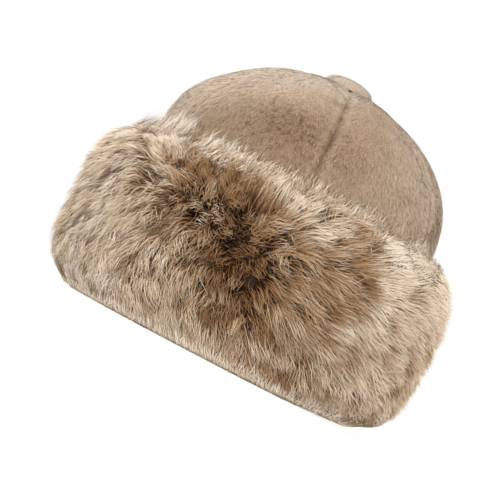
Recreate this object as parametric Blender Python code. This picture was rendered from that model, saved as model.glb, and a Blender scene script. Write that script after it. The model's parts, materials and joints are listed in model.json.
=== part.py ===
"""A pull-on winter hat: a six-gore plush crown, a covered button on top and a deep cuff of long fur.

Metres, +Z up. The hat stands on its rim, with the origin at the centre of the rim's plane and the front
facing -Y. Angles round the hat are measured from the front, towards +X.
"""

import math
import random

import bmesh
import bpy

# Head opening and crown
RIM_HALF_WIDTH = 0.0905  # outside of the crown at the rim
CROWN_HALF_WIDTH = 0.0975  # where the crown is widest, just above the cuff
DEPTH_RATIO = 1.125  # front to back, over side to side
CROWN_WALL = 0.0065  # cloth with its dense short pile
CROWN_RIM_HEIGHT = 0.002  # the crown's lower edge, tucked up inside the cuff
FLARE_START = 0.040  # the crown widens from here up to its widest place
DOME_BASE = 0.112
DOME_RISE = 0.0795
DOME_FULLNESS = 2.25  # exponent of the dome's outline: 2 is an ellipse, more is squarer
DOME_ROWS = 6  # rows of the dome below the last ones
DOME_ROW_STEP = math.radians(13.0)  # from row to row, along the dome's outline
COVERED_HEIGHTS = (0.030, 0.060, 0.085, 0.106)  # rows of the crown inside the cuff
GORES = 6
GORE_COLUMNS = 8
SEAM_DEPTH = 0.0045  # how far the dome is pulled in along a seam
SEAM_SHARPNESS = 3
SEAM_FULL_RISE = 0.5  # a seam has its full depth from this share of the dome's rise
SLUMP = 0.10  # the soft dome has sunk in on its left, by this share of its radius
SLUMP_HEIGHT = 0.174
SLUMP_SPREAD = 0.021
DIMPLE_DEPTH = 0.0025  # the button pulls the top down
DIMPLE_RADIUS = 0.016
APEX_RADII = (0.030, 0.016, 0.005)  # last rows of the dome; the gores end at the smallest

# Button
BUTTON_RADIUS = 0.0155
BUTTON_TOP = 0.198
BUTTON_EDGE_HEIGHT = 0.0015
BUTTON_FULLNESS = 2.3
BUTTON_NECK = 0.94  # radius where the button meets the crown, over its greatest
BUTTON_ROWS = 6
BUTTON_SIDES = 24
SHANK_DEPTH = 0.007

# Cuff
CUFF_HALF_WIDTH = 0.0920  # plan ellipse from which the cuff's thickness is counted
CUFF_HEIGHT = 0.1180  # to the tips of its fur
CUFF_THICKNESS = 0.0330  # to the tips of its fur
BACKING_HEIGHT = 0.1080
BACKING_THICKNESS = 0.0145
CUFF_FULLNESS = 2.5
SECTION_SAMPLES = 400  # steps along the cuff's section when its length is measured
SOLE_WIDTH = 0.0090  # flat underside on which the hat stands
TOP_EDGE = 0.0030  # width of the cuff's upper edge, beside the crown
LOCK_COLUMNS = 48
LOCK_ROWS = 10
LOWEST_LOCK = math.radians(-56)  # along the cuff's section: -90 is straight down, 90 straight up
HIGHEST_LOCK = math.radians(71)
LOCK_DROOP = 0.0040  # of the tip of the most drooping lock
LEAST_DROOP = 0.4  # of the least drooping lock, over that of the most drooping
LOCK_WAIST = 0.62  # width of a lock at its waist, over its width at the backing
WAIST_PLACE = 0.46  # from a lock's root to its waist, over the way to its tip
LOCK_JITTER = 0.24  # how far a backing point strays, in lock widths
LOCK_WAVE = 0.5  # how far the rows of locks wander, in row heights
LOCK_WAVES = 7
WAVE_SHIFT = 0.9  # from a row's wave to the next row's, in radians
SHORTEST_LOCK = 0.70  # of the fur's full length
LOWEST_TIP = 0.0012  # the locks' tips stay above what the hat stands on
FUR_SEED = 41

GAP = 0.0003  # between pieces that touch
MERGE_DISTANCE = 0.00001
SHARP_ANGLE = math.radians(40)  # edges that turn more than this are shaded sharp

PLUSH_COLOUR = (0.47, 0.36, 0.25, 1.0)
BUTTON_COLOUR = (0.50, 0.39, 0.28, 1.0)
FUR_COLOUR = (0.36, 0.25, 0.16, 1.0)
PLUSH_ROUGHNESS = 0.95
FUR_ROUGHNESS = 0.9


def remove_objects():
    for thing in list(bpy.data.objects):
        bpy.data.objects.remove(thing, do_unlink=True)


def smoothstep(value, low, high):
    share = min(1.0, max(0.0, (value - low) / (high - low)))
    return share * share * (3.0 - 2.0 * share)


def cloth(name, colour, roughness):
    material = bpy.data.materials.new(name)
    material.use_nodes = True
    shader = material.node_tree.nodes["Principled BSDF"]
    shader.inputs["Base Color"].default_value = colour
    shader.inputs["Roughness"].default_value = roughness
    shader.inputs["Metallic"].default_value = 0.0
    return material


def finish(bm, name, material):
    """Turns a bmesh into the named object, with its faces pointing out."""
    bmesh.ops.recalc_face_normals(bm, faces=bm.faces)
    mesh = bpy.data.meshes.new(name)
    bm.to_mesh(mesh)
    bm.free()
    mesh.materials.append(material)
    mesh.shade_smooth()
    mesh.set_sharp_from_angle(angle=SHARP_ANGLE)
    made = bpy.data.objects.new(name, mesh)
    bpy.context.scene.collection.objects.link(made)
    return made


def bridge(bm, row, next_row, closed=True):
    """Joins two rows of as many points with a band of quads."""
    count = len(row)
    for i in range(count if closed else count - 1):
        k = (i + 1) % count
        bm.faces.new((row[i], row[k], next_row[k], next_row[i]))


def plan_point(angle, half_width, out, height):
    """A point at a distance out from the plan ellipse, along the ellipse's normal."""
    half_depth = half_width * DEPTH_RATIO
    normal_x = math.sin(angle) * half_depth
    normal_y = -math.cos(angle) * half_width
    scale = out / math.hypot(normal_x, normal_y)
    x = half_width * math.sin(angle) + normal_x * scale
    y = -half_depth * math.cos(angle) + normal_y * scale
    return (x, y, height)


def crown_half_width(height):
    """Half-width of the crown's outside below the dome."""
    flare = smoothstep(height, FLARE_START, DOME_BASE)
    return RIM_HALF_WIDTH + (CROWN_HALF_WIDTH - RIM_HALF_WIDTH) * flare


def dome_radii():
    """Radii of the dome's rows on its outside, from its base to the button."""
    angles = [step * DOME_ROW_STEP for step in range(DOME_ROWS)]
    radii = [CROWN_HALF_WIDTH * math.cos(angle) ** (2.0 / DOME_FULLNESS) for angle in angles]
    return radii + list(APEX_RADII)


def dome_height(radius, wall):
    """Height of the dome at a radius, on its outside or on the inside of its wall."""
    share = radius / (CROWN_HALF_WIDTH - wall)
    rise = (1.0 - min(1.0, share) ** DOME_FULLNESS) ** (1.0 / DOME_FULLNESS)
    dimple = DIMPLE_DEPTH * math.exp(-((radius / DIMPLE_RADIUS) ** 2))
    return DOME_BASE + (DOME_RISE - wall) * rise - dimple


def crown_rows():
    """Radius and height of each row of the crown: outside first, then inside, from rim to button."""
    rows = []
    for height in (CROWN_RIM_HEIGHT,) + COVERED_HEIGHTS:
        half_width = crown_half_width(height)
        rows.append(((half_width, height), (half_width - CROWN_WALL, height)))
    for radius in dome_radii():
        inner = max(APEX_RADII[-1], radius * (1.0 - CROWN_WALL / CROWN_HALF_WIDTH))
        outside = (radius, dome_height(radius, 0.0))
        inside = (inner, dome_height(inner, CROWN_WALL))
        rows.append((outside, inside))
    return rows


def pulled_in(radius, height, across):
    """The dome's outside drawn in towards its seams, where across is -1 and 1."""
    amount = smoothstep(height, DOME_BASE, DOME_BASE + SEAM_FULL_RISE * DOME_RISE)
    amount *= smoothstep(radius, 0.0, APEX_RADII[0])
    shrink = 1.0 - SEAM_DEPTH / CROWN_HALF_WIDTH * amount * abs(across) ** SEAM_SHARPNESS
    lowered = DOME_BASE + (height - DOME_BASE) * shrink
    if radius <= APEX_RADII[-1]:
        return radius, lowered
    return radius * shrink, lowered


def slumped(radius, height, angle):
    """A radius of the dome, less where the soft cloth has sunk in on the left."""
    beside = max(0.0, -math.sin(angle)) ** 2
    level = math.exp(-(((height - SLUMP_HEIGHT) / SLUMP_SPREAD) ** 2))
    away = smoothstep(radius, APEX_RADII[-1], APEX_RADII[0])
    return radius * (1.0 - SLUMP * beside * level * away)


def gore_column(bm, middle, across):
    """One column of a gore: its points up the outside, and its points up the inside."""
    outside = []
    inside = []
    at_seam = abs(across) == 1.0
    for (outer_radius, outer_height), (inner_radius, inner_height) in crown_rows():
        if outer_height > DOME_BASE:
            outer_radius, outer_height = pulled_in(outer_radius, outer_height, across)
        for column, radius, height in (
            (outside, outer_radius, outer_height),
            (inside, inner_radius, inner_height),
        ):
            half_angle = math.pi / GORES
            if at_seam:
                half_angle -= 0.5 * GAP / radius
            angle = middle + across * half_angle
            sunk = slumped(radius, height, angle)
            column.append(bm.verts.new(plan_point(angle, sunk, 0.0, height)))
    return outside, inside


def crown_gore(number, material):
    """One of the six sewn gores: a curved wall from the rim to the button."""
    bm = bmesh.new()
    middle = (number - 0.5) * 2.0 * math.pi / GORES
    columns = [
        gore_column(bm, middle, 2.0 * step / GORE_COLUMNS - 1.0) for step in range(GORE_COLUMNS + 1)
    ]
    loops = [outside + inside[::-1] for outside, inside in columns]
    for loop, next_loop in zip(loops, loops[1:]):
        bridge(bm, loop, next_loop)
    for outside, inside in (columns[0], columns[-1]):
        bridge(bm, outside, inside, closed=False)
    return finish(bm, f"crown_gore_{number}", material)


def button_outline():
    """Radius and height of the button's section, from the shank's foot to the top."""
    rows = crown_rows()
    wide_radius, wide_height = rows[-2][0]
    tip_radius, tip_height = rows[-1][0]
    slope = (wide_height - tip_height) / (wide_radius - tip_radius)
    seat = tip_height + GAP
    shank = tip_radius - GAP
    rim_height = seat + slope * (BUTTON_RADIUS - tip_radius)
    outline = [(0.0, seat - SHANK_DEPTH), (shank, seat - SHANK_DEPTH), (shank, seat)]
    outline.append((BUTTON_RADIUS * BUTTON_NECK, rim_height))
    dome_base = rim_height + BUTTON_EDGE_HEIGHT
    for step in range(BUTTON_ROWS + 1):
        angle = 0.5 * math.pi * step / BUTTON_ROWS
        radius = BUTTON_RADIUS * max(0.0, math.cos(angle)) ** (2.0 / BUTTON_FULLNESS)
        rise = math.sin(angle) ** (2.0 / BUTTON_FULLNESS)
        outline.append((radius, dome_base + (BUTTON_TOP - dome_base) * rise))
    outline[-1] = (0.0, BUTTON_TOP)
    return outline


def crown_button(material):
    """The covered button, turned about the hat's axis, with a shank between the gores' tips."""
    bm = bmesh.new()
    points = [bm.verts.new((radius, 0.0, height)) for radius, height in button_outline()]
    edges = [bm.edges.new(pair) for pair in zip(points, points[1:])]
    bmesh.ops.spin(
        bm,
        geom=points + edges,
        axis=(0.0, 0.0, 1.0),
        cent=(0.0, 0.0, 0.0),
        steps=BUTTON_SIDES,
        angle=2.0 * math.pi,
    )
    bmesh.ops.remove_doubles(bm, verts=bm.verts, dist=MERGE_DISTANCE)
    return finish(bm, "crown_button", material)


def section_point(turn, thickness, height):
    """Distance out and height of a point of the cuff's rounded-square section."""
    power = 2.0 / CUFF_FULLNESS
    out = thickness * math.cos(turn) ** power
    middle = 0.5 * height
    rise = middle * math.copysign(abs(math.sin(turn)) ** power, turn)
    return out, middle + rise


def even_turns(count):
    """Angles along the cuff's section, spaced evenly along the fur's outline."""
    span = HIGHEST_LOCK - LOWEST_LOCK
    turns = [LOWEST_LOCK + span * i / SECTION_SAMPLES for i in range(SECTION_SAMPLES + 1)]
    points = [section_point(turn, CUFF_THICKNESS, CUFF_HEIGHT) for turn in turns]
    lengths = [0.0]
    for point, next_point in zip(points, points[1:]):
        lengths.append(lengths[-1] + math.dist(point, next_point))
    chosen = []
    for i in range(count):
        target = lengths[-1] * i / (count - 1)
        nearest = min(range(len(lengths)), key=lambda k: abs(lengths[k] - target))
        chosen.append(turns[nearest])
    return chosen


def backing_places(turns, rng):
    """Angle round the hat and turn in the section for each point of the backing, row by row.

    Each row starts half a lock further round than the row below it, so that the locks are staggered.
    """
    step = 2.0 * math.pi / LOCK_COLUMNS
    places = []
    for row, turn in enumerate(turns):
        inside = 0 < row < LOCK_ROWS
        row_step = min(turns[row + 1] - turn, turn - turns[row - 1]) if inside else 0.0
        stray = LOCK_JITTER if inside else 0.0
        places.append([])
        for column in range(LOCK_COLUMNS):
            angle = (column + 0.5 * row + rng.uniform(-stray, stray)) * step
            wave = LOCK_WAVE * math.sin(LOCK_WAVES * angle + WAVE_SHIFT * row)
            places[row].append((angle, turn + (wave + rng.uniform(-stray, stray)) * row_step))
    return places


def backing_point(bm, row, angle, turn):
    """A point of the backing. The first row is the sole's edge, and the last meets the crown."""
    if row == 0:
        out, height = SOLE_WIDTH, 0.0
    elif row == LOCK_ROWS:
        height = COVERED_HEIGHTS[-1]
        out = crown_half_width(height) - CUFF_HALF_WIDTH + TOP_EDGE
    else:
        out, height = section_point(turn, BACKING_THICKNESS, BACKING_HEIGHT)
    return bm.verts.new(plan_point(angle, CUFF_HALF_WIDTH, out, height))


def grow_lock(bm, face, angle, turn, rng):
    """Pulls one face of the backing out into a tapered, pointed lock."""
    reach = rng.uniform(SHORTEST_LOCK, 1.0)
    thickness = BACKING_THICKNESS + (CUFF_THICKNESS - BACKING_THICKNESS) * reach
    height = BACKING_HEIGHT + (CUFF_HEIGHT - BACKING_HEIGHT) * reach
    out, lift = section_point(turn, thickness, height)
    droop = LOCK_DROOP * rng.uniform(LEAST_DROOP, 1.0) * math.cos(turn)
    lift = max(LOWEST_TIP, lift - droop)
    root = face.calc_center_median()
    top = bmesh.ops.extrude_discrete_faces(bm, faces=[face])["faces"][0]
    tip = root.copy()
    tip.x, tip.y, tip.z = plan_point(angle, CUFF_HALF_WIDTH, out, lift)
    waist = root.lerp(tip, WAIST_PLACE)
    for corner in top.verts:
        corner.co = waist + (corner.co - root) * LOCK_WAIST
        corner.co.z = max(0.5 * LOWEST_TIP, corner.co.z)
    point = bmesh.ops.poke(bm, faces=[top])["verts"][0]
    point.co = tip


def fur_cuff(material):
    """The cuff in one body: inner wall, flat sole, backing, and locks all over its outside."""
    rng = random.Random(FUR_SEED)
    bm = bmesh.new()
    step = 2.0 * math.pi / LOCK_COLUMNS
    inner_rows = []
    for height in (0.0,) + COVERED_HEIGHTS:
        half_width = crown_half_width(height)
        row = [
            bm.verts.new(plan_point(column * step, half_width, GAP, height))
            for column in range(LOCK_COLUMNS)
        ]
        inner_rows.append(row)
    for row, next_row in zip(inner_rows, inner_rows[1:]):
        bridge(bm, row, next_row)
    places = backing_places(even_turns(LOCK_ROWS + 1), rng)
    outer_rows = [
        [backing_point(bm, row, angle, turn) for angle, turn in places[row]]
        for row in range(LOCK_ROWS + 1)
    ]
    bridge(bm, inner_rows[0], outer_rows[0])
    shift = LOCK_ROWS // 2
    top_row = outer_rows[-1][-shift:] + outer_rows[-1][:-shift]
    bridge(bm, top_row, inner_rows[-1])
    locks = []
    for row in range(LOCK_ROWS):
        first = len(bm.faces)
        bridge(bm, outer_rows[row], outer_rows[row + 1])
        bm.faces.ensure_lookup_table()
        for column in range(LOCK_COLUMNS):
            beside = (column + 1) % LOCK_COLUMNS
            corners = [places[i][k] for i in (row, row + 1) for k in (column, beside)]
            full_turn = 2.0 * math.pi if beside == 0 else 0.0
            angle = (sum(corner[0] for corner in corners) + 2.0 * full_turn) / 4.0
            turn = sum(corner[1] for corner in corners) / 4.0
            locks.append((bm.faces[first + column], angle, turn))
    bmesh.ops.recalc_face_normals(bm, faces=bm.faces)
    for face, angle, turn in locks:
        grow_lock(bm, face, angle, turn, rng)
    return finish(bm, "fur_cuff", material)


def build_hat():
    remove_objects()
    plush = cloth("crown_plush", PLUSH_COLOUR, PLUSH_ROUGHNESS)
    for number in range(1, GORES + 1):
        crown_gore(number, plush)
    crown_button(cloth("button_plush", BUTTON_COLOUR, PLUSH_ROUGHNESS))
    fur_cuff(cloth("cuff_fur", FUR_COLOUR, FUR_ROUGHNESS))


build_hat()
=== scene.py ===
import json
import math

import bpy
import numpy as np
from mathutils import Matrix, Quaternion, Vector, noise

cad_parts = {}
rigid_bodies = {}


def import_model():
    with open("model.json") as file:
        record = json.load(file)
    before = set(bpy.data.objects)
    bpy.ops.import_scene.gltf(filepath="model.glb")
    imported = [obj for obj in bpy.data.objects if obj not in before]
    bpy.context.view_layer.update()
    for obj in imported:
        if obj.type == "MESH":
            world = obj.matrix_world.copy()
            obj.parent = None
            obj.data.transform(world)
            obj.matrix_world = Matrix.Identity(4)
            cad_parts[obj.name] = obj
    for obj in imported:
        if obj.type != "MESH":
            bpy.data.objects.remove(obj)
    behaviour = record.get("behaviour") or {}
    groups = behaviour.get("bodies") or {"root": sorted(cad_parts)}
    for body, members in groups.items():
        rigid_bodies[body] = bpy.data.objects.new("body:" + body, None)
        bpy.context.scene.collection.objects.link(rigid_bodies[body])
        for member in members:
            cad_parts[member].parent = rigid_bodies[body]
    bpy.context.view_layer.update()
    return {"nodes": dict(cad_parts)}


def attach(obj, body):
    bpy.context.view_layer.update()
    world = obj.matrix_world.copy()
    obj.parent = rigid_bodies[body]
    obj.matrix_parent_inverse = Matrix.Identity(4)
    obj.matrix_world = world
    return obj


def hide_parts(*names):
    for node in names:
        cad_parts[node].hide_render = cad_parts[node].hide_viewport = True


# Looks of a fur-cuffed winter hat. Metres, +Z up, the front faces -Y.

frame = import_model()
rootBody = "root"
bpy.ops.object.select_all(action="DESELECT")


# Small helpers

def pickOnly(piece):
    bpy.ops.object.select_all(action="DESELECT")
    piece.select_set(True)
    bpy.context.view_layer.objects.active = piece


def applyModifier(piece, kind, **settings):
    pickOnly(piece)
    modifier = piece.modifiers.new(kind.title(), kind)
    for key, value in settings.items():
        setattr(modifier, key, value)
    bpy.ops.object.modifier_apply(modifier=modifier.name)


def copyOfNode(nodeName, pieceName):
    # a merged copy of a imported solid, ready to be modelled further
    mesh = frame["nodes"][nodeName].data.copy()
    mesh.materials.clear()
    piece = bpy.data.objects.new(pieceName, mesh)
    bpy.context.scene.collection.objects.link(piece)
    pickOnly(piece)
    bpy.ops.mesh.customdata_custom_splitnormals_clear()
    bpy.ops.object.mode_set(mode="EDIT")
    bpy.ops.mesh.select_all(action="SELECT")
    bpy.ops.mesh.remove_doubles(threshold=0.00002)
    bpy.ops.mesh.tris_convert_to_quads()
    bpy.ops.mesh.select_all(action="DESELECT")
    bpy.ops.object.mode_set(mode="OBJECT")
    return piece


def smoothstep(value, low, high):
    share = np.clip((value - low) / (high - low), 0.0, 1.0)
    return share * share * (3.0 - 2.0 * share)


def noiseAt(points, size, seed=0.0):
    # soft noise from -1 to 1, with patches of about the given size in metres
    shift = Vector((seed, seed * 0.7, seed * 1.3))
    return np.array([noise.noise(Vector(point) / size + shift) for point in points])


def spotAt(x, z, centreX, centreZ, halfWidth, halfHeight):
    # 1 in the middle of a soft round spot, and 0 far from it
    return np.exp(-((x - centreX) / halfWidth) ** 2 - ((z - centreZ) / halfHeight) ** 2)


def unit(vectors):
    lengths = np.linalg.norm(vectors, axis=-1, keepdims=True)
    return vectors / np.maximum(lengths, 1e-9)


# Shared shader groups

def addNode(tree, kind, settings, inputs):
    # inputs that are sockets are linked, and all others are set on the node
    node = tree.nodes.new(kind)
    for key, value in settings.items():
        setattr(node, key, value)
    for label, term in inputs.items():
        if isinstance(term, bpy.types.NodeSocket):
            tree.links.new(term, node.inputs[label])
        else:
            node.inputs[label].default_value = term
    return node


def addMath(tree, operation, *terms):
    node = addNode(tree, "ShaderNodeMath", {"operation": operation}, dict(enumerate(terms)))
    return node.outputs["Value"]


def addRange(tree, source, fromRange, toRange=(0.0, 1.0), curve="LINEAR"):
    labels = ("From Min", "From Max", "To Min", "To Max")
    inputs = dict(zip(labels, fromRange + toRange), Value=source)
    return addNode(tree, "ShaderNodeMapRange", {"interpolation_type": curve}, inputs).outputs["Result"]


def addMix(tree, share, first, second, blend="MIX"):
    settings = {"data_type": "RGBA", "blend_type": blend}
    node = addNode(tree, "ShaderNodeMix", settings, {"Factor": share, "A": first, "B": second})
    return node.outputs["Result"]


def newGroup(name, inputs, outputs):
    group = bpy.data.node_groups.new(name, "ShaderNodeTree")
    for label, kind, value in inputs:
        socket = group.interface.new_socket(label, in_out="INPUT", socket_type=kind)
        if value is not None:
            socket.default_value = value
    for label, kind in outputs:
        group.interface.new_socket(label, in_out="OUTPUT", socket_type=kind)
    given = group.nodes.new("NodeGroupInput")
    result = group.nodes.new("NodeGroupOutput")
    return group, given.outputs, result.inputs


hairBlend = {
    "middle": (0.05, 0.50),  # the middle colour comes in between these shares of a hair's length
    "tip": (0.45, 1.00),
    "gamma": (1.60, 0.75),  # of the darkest and of the palest hair
    "bleached": (0.62, 1.02),  # a hair turns pale between these tones
    "paleShare": (0.45, 1.0),  # how much of that its root and its tip take
}


def makeHairGroup():
    # root to tip colours of one hair; a low tone keeps it dark for longer and deepens its colour
    group, given, result = newGroup(
        "hairColour",
        [
            ("Along", "NodeSocketFloat", 0.5),
            ("Tone", "NodeSocketFloat", 0.5),
            ("Tone Reach", "NodeSocketFloat", 0.45),
            ("Root", "NodeSocketColor", (0.05, 0.03, 0.02, 1.0)),
            ("Middle", "NodeSocketColor", (0.3, 0.2, 0.13, 1.0)),
            ("Tip", "NodeSocketColor", (0.6, 0.5, 0.4, 1.0)),
            ("Pale", "NodeSocketColor", (0.8, 0.7, 0.6, 1.0)),
        ],
        [("Color", "NodeSocketColor")],
    )
    centred = addMath(group, "SUBTRACT", given["Tone"], 0.5)
    reach = addMath(group, "MULTIPLY_ADD", centred, given["Tone Reach"], given["Along"])
    toMiddle = addRange(group, reach, hairBlend["middle"], curve="SMOOTHSTEP")
    toTip = addRange(group, reach, hairBlend["tip"], curve="SMOOTHSTEP")
    colour = addMix(group, toMiddle, given["Root"], given["Middle"])
    colour = addMix(group, toTip, colour, given["Tip"])
    gamma = addRange(group, given["Tone"], (0.0, 1.0), hairBlend["gamma"])
    deep = addNode(group, "ShaderNodeGamma", {}, {"Color": colour, "Gamma": gamma})
    bleached = addRange(group, given["Tone"], hairBlend["bleached"], curve="SMOOTHSTEP")
    taken = addRange(group, toTip, (0.0, 1.0), hairBlend["paleShare"])
    amount = addMath(group, "MULTIPLY", bleached, taken)
    colour = addMix(group, amount, deep.outputs["Color"], given["Pale"])
    group.links.new(colour, result["Color"])
    return group


pileCloud = {
    "detail": {"Patch": 3.0, "Fleck": 2.0},
    "contrast": (0.32, 0.68),
    "patchHeight": 0.35,  # of the patches, over that of the flecks
}


def makePileGroup():
    # patches, flecks and height of a dense pile seen from above
    group, given, result = newGroup(
        "pileMottle",
        [
            ("Vector", "NodeSocketVector", None),
            ("Patch Scale", "NodeSocketFloat", 60.0),
            ("Fleck Scale", "NodeSocketFloat", 900.0),
        ],
        [("Patch", "NodeSocketFloat"), ("Fleck", "NodeSocketFloat"), ("Height", "NodeSocketFloat")],
    )
    found = {}
    for label, detail in pileCloud["detail"].items():
        inputs = {"Vector": given["Vector"], "Scale": given[f"{label} Scale"], "Detail": detail}
        cloud = addNode(group, "ShaderNodeTexNoise", {}, inputs)
        found[label] = addRange(group, cloud.outputs["Fac"], pileCloud["contrast"])
        group.links.new(found[label], result[label])
    height = addMath(group, "MULTIPLY_ADD", found["Patch"], pileCloud["patchHeight"], found["Fleck"])
    group.links.new(height, result["Height"])
    return group


hairColour = makeHairGroup()
pileMottle = makePileGroup()

fibre = {
    "gloss": 0.12,  # specular level of every hair and cloth
    "clothRoughness": 0.95,
    "fleckShare": 0.6,
    "bumpStrength": 0.6,
    "paleTones": (0.38, 0.82),  # the undercoat turns pale between these tones of the fur above it
}


def newMaterial(name, roughness, sheen=0.0):
    material = bpy.data.materials.new(name)
    material.use_nodes = True
    shader = material.node_tree.nodes["Principled BSDF"].inputs
    shader["Roughness"].default_value = roughness
    shader["Specular IOR Level"].default_value = fibre["gloss"]
    shader["Sheen Weight"].default_value = sheen
    return material, shader


def hairMaterial(name, look):
    material, shader = newMaterial(name, look["roughness"], look["sheen"])
    tree = material.node_tree
    lanes = addNode(tree, "ShaderNodeUVMap", {"uv_map": hairLanes["uvMap"]}, {})
    split = addNode(tree, "ShaderNodeSeparateXYZ", {}, {0: lanes.outputs["UV"]})
    inputs = {"Tone": split.outputs["X"], "Along": split.outputs["Y"], "Tone Reach": look["toneReach"]}
    for label in ("Root", "Middle", "Tip", "Pale"):
        inputs[label] = look[label.lower()] + (1.0,)
    colour = addNode(tree, "ShaderNodeGroup", {"node_tree": hairColour}, inputs)
    tree.links.new(colour.outputs["Color"], shader["Base Color"])
    return material


def pileMaterial(name, look):
    # ground cloth or undercoat below the hairs
    material, shader = newMaterial(name, fibre["clothRoughness"])
    tree = material.node_tree
    where = addNode(tree, "ShaderNodeTexCoord", {}, {}).outputs["Object"]
    inputs = {"Vector": where, "Patch Scale": look["patchScale"], "Fleck Scale": look["fleckScale"]}
    mottle = addNode(tree, "ShaderNodeGroup", {"node_tree": pileMottle}, inputs).outputs
    colour = addMix(tree, mottle["Patch"], look["dark"] + (1.0,), look["light"] + (1.0,))
    colour = addMix(tree, fibre["fleckShare"], colour, mottle["Fleck"], "MULTIPLY")
    if "pale" in look:
        above = addNode(tree, "ShaderNodeAttribute", {"attribute_name": "furTone"}, {})
        share = addRange(tree, above.outputs["Fac"], fibre["paleTones"])
        colour = addMix(tree, share, colour, look["pale"] + (1.0,))
    tree.links.new(colour, shader["Base Color"])
    inputs = {"Strength": fibre["bumpStrength"], "Distance": look["bump"], "Height": mottle["Height"]}
    bump = addNode(tree, "ShaderNodeBump", {}, inputs)
    tree.links.new(bump.outputs["Normal"], shader["Normal"])
    return material


# Hairs are narrow ribbons. Each one's UV map holds its own tone across and root to tip along.

hairLanes = {
    "uvMap": "OFBake",
    "margin": 0.02,
    "laneWidth": 0.006,
    "standing": 0.15,  # a hair this near to upright takes its width from the spare direction
    "spare": (0.31, 0.52, 0.79),
}


def hairSides(lines, outward, twist):
    # the way each ribbon is wide: mostly flat to the surface, turned by its own twist
    along = unit(lines[:, -1] - lines[:, 0])
    across = np.cross(along, outward)
    spare = np.cross(along, np.array(hairLanes["spare"]))
    weak = np.linalg.norm(across, axis=1) < hairLanes["standing"]
    across[weak] = spare[weak]
    across = unit(across)
    over = np.cross(across, along)
    sides = across * np.cos(twist)[:, None] + over * np.sin(twist)[:, None]
    facing = np.cross(sides, along)
    flip = np.sum(facing * outward, axis=1) < 0.0
    sides[flip] *= -1.0
    return sides


def ribbonPiece(name, hairs, material, soften):
    # lines holds the points of each hair from root to tip; the last point is its sharp end
    lines, sides, widths, tones, outward = hairs
    count, steps = lines.shape[:2]
    pairs = steps - 1
    left = lines[:, :-1] - sides[:, None] * widths[:, :-1, None] * 0.5
    right = lines[:, :-1] + sides[:, None] * widths[:, :-1, None] * 0.5
    perHair = 2 * pairs + 1
    points = np.empty((count, perHair, 3), np.float32)
    points[:, 0:-1:2] = left
    points[:, 1:-1:2] = right
    points[:, -1] = lines[:, -1]
    corners = []
    starts = []
    for step in range(pairs - 1):
        starts.append(len(corners))
        corners += [2 * step, 2 * step + 1, 2 * step + 3, 2 * step + 2]
    starts.append(len(corners))
    corners += [2 * pairs - 2, 2 * pairs - 1, 2 * pairs]
    corners = np.array(corners)
    base = np.arange(count)[:, None]
    loopVertices = (corners[None] + base * perHair).ravel().astype(np.int32)
    loopStarts = (np.array(starts)[None] + base * len(corners)).ravel().astype(np.int32)
    margin = hairLanes["margin"]
    lane = margin + (1.0 - 2.0 * margin) * np.clip(tones, 0.0, 1.0)
    heights = margin + (1.0 - 2.0 * margin) * np.arange(pairs) / pairs
    across = np.tile([-0.5, 0.5], pairs).tolist() + [0.0]
    along = np.repeat(heights, 2).tolist() + [1.0 - margin]
    uv = np.empty((count, perHair, 2), np.float32)
    uv[:, :, 0] = lane[:, None] + np.array(across)[None] * hairLanes["laneWidth"]
    uv[:, :, 1] = np.array(along)[None]
    uv = uv.reshape(-1, 2)[loopVertices]
    mesh = bpy.data.meshes.new(name)
    mesh.vertices.add(count * perHair)
    mesh.vertices.foreach_set("co", points.ravel())
    mesh.loops.add(len(loopVertices))
    mesh.loops.foreach_set("vertex_index", loopVertices)
    mesh.polygons.add(len(loopStarts))
    mesh.polygons.foreach_set("loop_start", loopStarts)
    mesh.uv_layers.new(name=hairLanes["uvMap"])
    mesh.uv_layers[0].uv.foreach_set("vector", uv.ravel())
    mesh.materials.append(material)
    mesh.update(calc_edges=True)
    mesh.shade_smooth()
    own = np.cross(sides, unit(lines[:, -1] - lines[:, 0]))
    normals = unit(own * (1.0 - soften) + outward * soften)  # drawn to the surface's own, for a soft mass
    mesh.normals_split_custom_set_from_vertices(np.repeat(normals, perHair, axis=0).tolist())
    piece = bpy.data.objects.new(name, mesh)
    bpy.context.scene.collection.objects.link(piece)
    return piece


def finishPiece(piece, slotName, *nodes):
    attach(piece, rootBody)
    if nodes:
        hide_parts(*nodes)


# Camera, floor and light

view = {
    "distance": 1.30,
    "azimuth": math.radians(-2.7),
    "height": 0.020,
    "aim": (-0.0086, 0.0, 0.073),
    "roll": math.radians(27.5),
    "frameWidth": 0.316,  # metres across the picture at the hat
    "sensor": 36.0,
    "shiftX": 0.0,
    "shiftY": 0.0,
}


def makeCamera():
    eye = Vector((
        view["distance"] * math.sin(view["azimuth"]),
        -view["distance"] * math.cos(view["azimuth"]),
        view["height"],
    ))
    data = bpy.data.cameras.new("camera")
    camera = bpy.data.objects.new("camera", data)
    bpy.context.scene.collection.objects.link(camera)
    look = Vector(view["aim"]) - eye
    turn = look.to_track_quat("-Z", "Y") @ Quaternion((0.0, 0.0, 1.0), view["roll"])
    camera.rotation_mode = "QUATERNION"
    camera.rotation_quaternion = turn
    camera.location = eye
    data.sensor_width = view["sensor"]
    data.lens = view["sensor"] * look.length / view["frameWidth"]
    data.shift_x = view["shiftX"]
    data.shift_y = view["shiftY"]
    bpy.context.scene.camera = camera


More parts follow.
